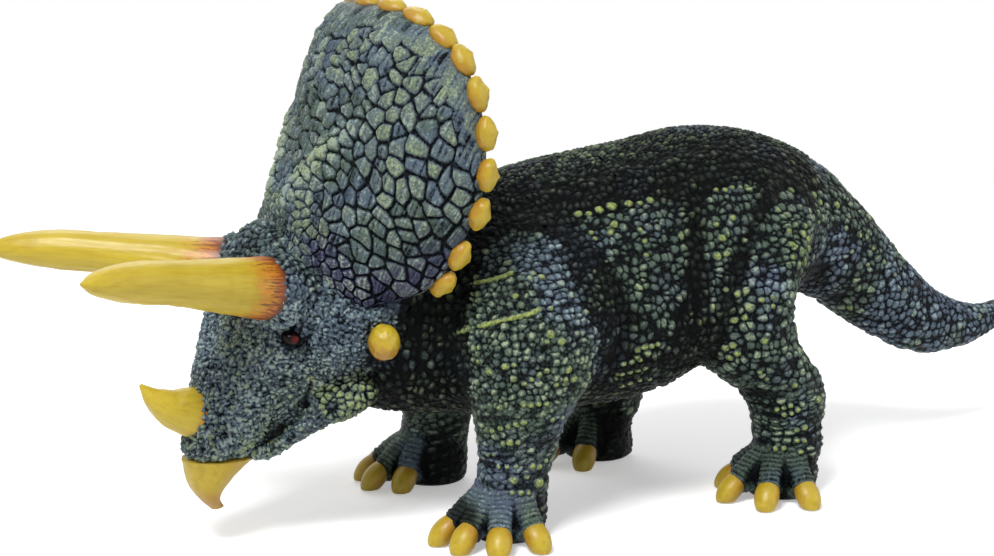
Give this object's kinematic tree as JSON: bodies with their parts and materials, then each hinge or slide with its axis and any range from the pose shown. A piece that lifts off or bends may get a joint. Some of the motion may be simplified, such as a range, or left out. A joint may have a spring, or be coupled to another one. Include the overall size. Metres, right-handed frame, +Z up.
{
  "type": "toy dinosaur figure",
  "caption": "Walking horned dinosaur figure with a tall studded neck frill, hooked beak, lowered head and a tail that curves up at its tip, moulded in hand-painted soft plastic.",
  "frame": {"origin": "centre of the figure's box at the level of its soles", "axes": "+Z up, the head and horns point along -X and the tail along +X, the animal's left side is -Y"},
  "size_m": [0.3144, 0.0928, 0.1396],
  "materials": {
    "painted_skin": "satin hand-painted soft plastic, dark slate with green-yellow dry brushing",
    "ochre_horn": "satin ochre paint with orange shading",
    "eye_gloss": "gloss lacquer"
  },
  "bodies": {
    "root": {"beak": "ochre_horn", "brow_horn_left": "ochre_horn", "brow_horn_right": "ochre_horn", "cheek_horn_left": "ochre_horn", "cheek_horn_right": "ochre_horn", "eye_left": "eye_gloss", "eye_right": "eye_gloss", "frill_shield": "painted_skin", "front_left_leg": "painted_skin", "front_right_leg": "painted_skin", "head": "painted_skin", "lower_jaw": "painted_skin", "nose_horn": "ochre_horn", "rear_left_leg": "painted_skin", "rear_right_leg": "painted_skin", "tail": "painted_skin", "trunk": "painted_skin"}
  },
  "joints": []
}
